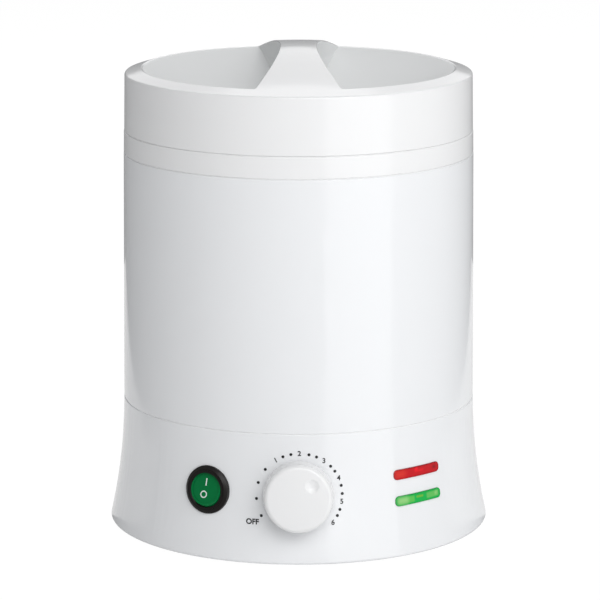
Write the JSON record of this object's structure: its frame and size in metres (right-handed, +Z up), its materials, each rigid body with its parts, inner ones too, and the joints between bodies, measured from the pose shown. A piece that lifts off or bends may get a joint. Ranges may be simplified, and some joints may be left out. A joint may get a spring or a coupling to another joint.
{
  "type": "wax warmer pot",
  "caption": "Round lidded pot that warms wax: flared base with rocker switch, dial knob and lamp lenses, lift-out metal pot in a heated well, lid with a grip bar between finger pockets.",
  "frame": {"origin": "on the table, under the centre of the part, on the pot's own axis", "axes": "+Z up along the axis of the pot, -Y towards the control panel, +X to the right seen from the front"},
  "size_m": [0.186, 0.202, 0.2361],
  "materials": {
    "white_gloss": "glossy white moulded plastic",
    "white_matte": "fine-textured white plastic",
    "pot_aluminium": "satin drawn aluminium",
    "well_aluminium": "mill-finish aluminium",
    "zinc_steel": "zinc-plated steel",
    "glass_fibre": "glass-fibre blanket",
    "foot_rubber": "matte rubber",
    "black_satin": "satin black plastic",
    "rocker_green": "translucent green plastic",
    "terminal_brass": "stamped brass",
    "control_plastic": "moulded insulating plastic",
    "copper_brass": "drawn copper",
    "lens_red": "translucent red plastic",
    "lens_green": "translucent green plastic",
    "lamp_glass": "clear glass"
  },
  "bodies": {
    "heater": {"body_sleeve": "white_gloss", "sleeve_screws": "zinc_steel", "heating_well": "well_aluminium", "well_screws": "zinc_steel", "band_heater": "zinc_steel", "insulation_blanket": "glass_fibre", "base_housing": "white_gloss", "heat_shield": "well_aluminium", "shield_screws": "zinc_steel", "base_plate": "white_matte", "base_screws": "zinc_steel", "rubber_feet": "foot_rubber", "switch_housing": "black_satin", "switch_terminals": "terminal_brass", "thermostat_body": "control_plastic", "thermostat_nut": "zinc_steel", "thermostat_terminals": "terminal_brass", "capillary_tube": "copper_brass", "sensor_bulb": "copper_brass", "bulb_strap": "zinc_steel", "thermal_fuse": "zinc_steel", "fuse_strap": "zinc_steel", "red_lens": "lens_red", "green_lens": "lens_green", "neon_lamps": "lamp_glass", "lamp_carrier": "control_plastic", "cord_gland": "black_satin", "gland_nut": "black_satin", "terminal_block": "control_plastic"},
    "pot": {"inner_pot": "pot_aluminium", "pot_collar": "white_gloss", "collar_screws": "zinc_steel"},
    "lid": {"lid_shell": "white_gloss"},
    "knob": {"control_knob": "white_gloss", "knob_clip": "zinc_steel", "thermostat_shaft": "zinc_steel"},
    "rocker": {"switch_rocker": "rocker_green"}
  },
  "joints": [
    {"name": "pot_lift", "type": "slide", "parent": "heater", "child": "pot", "axis": [0, 0, 1], "range_m": [0, 0.115]},
    {"name": "lid_lift", "type": "slide", "parent": "pot", "child": "lid", "axis": [0, 0, 1], "range_m": [0, 0.08]},
    {"name": "knob_turn", "type": "hinge", "parent": "heater", "child": "knob", "pos_m": [0, -0.08779, 0.0345], "axis": [0, -0.9939, 0.1107], "range_deg": [-84, 163]},
    {"name": "switch_rock", "type": "hinge", "parent": "heater", "child": "rocker", "pos_m": [-0.0423, -0.07522, 0.03433], "axis": [0.8716, -0.4901, 0], "range_deg": [0, 20]}
  ]
}
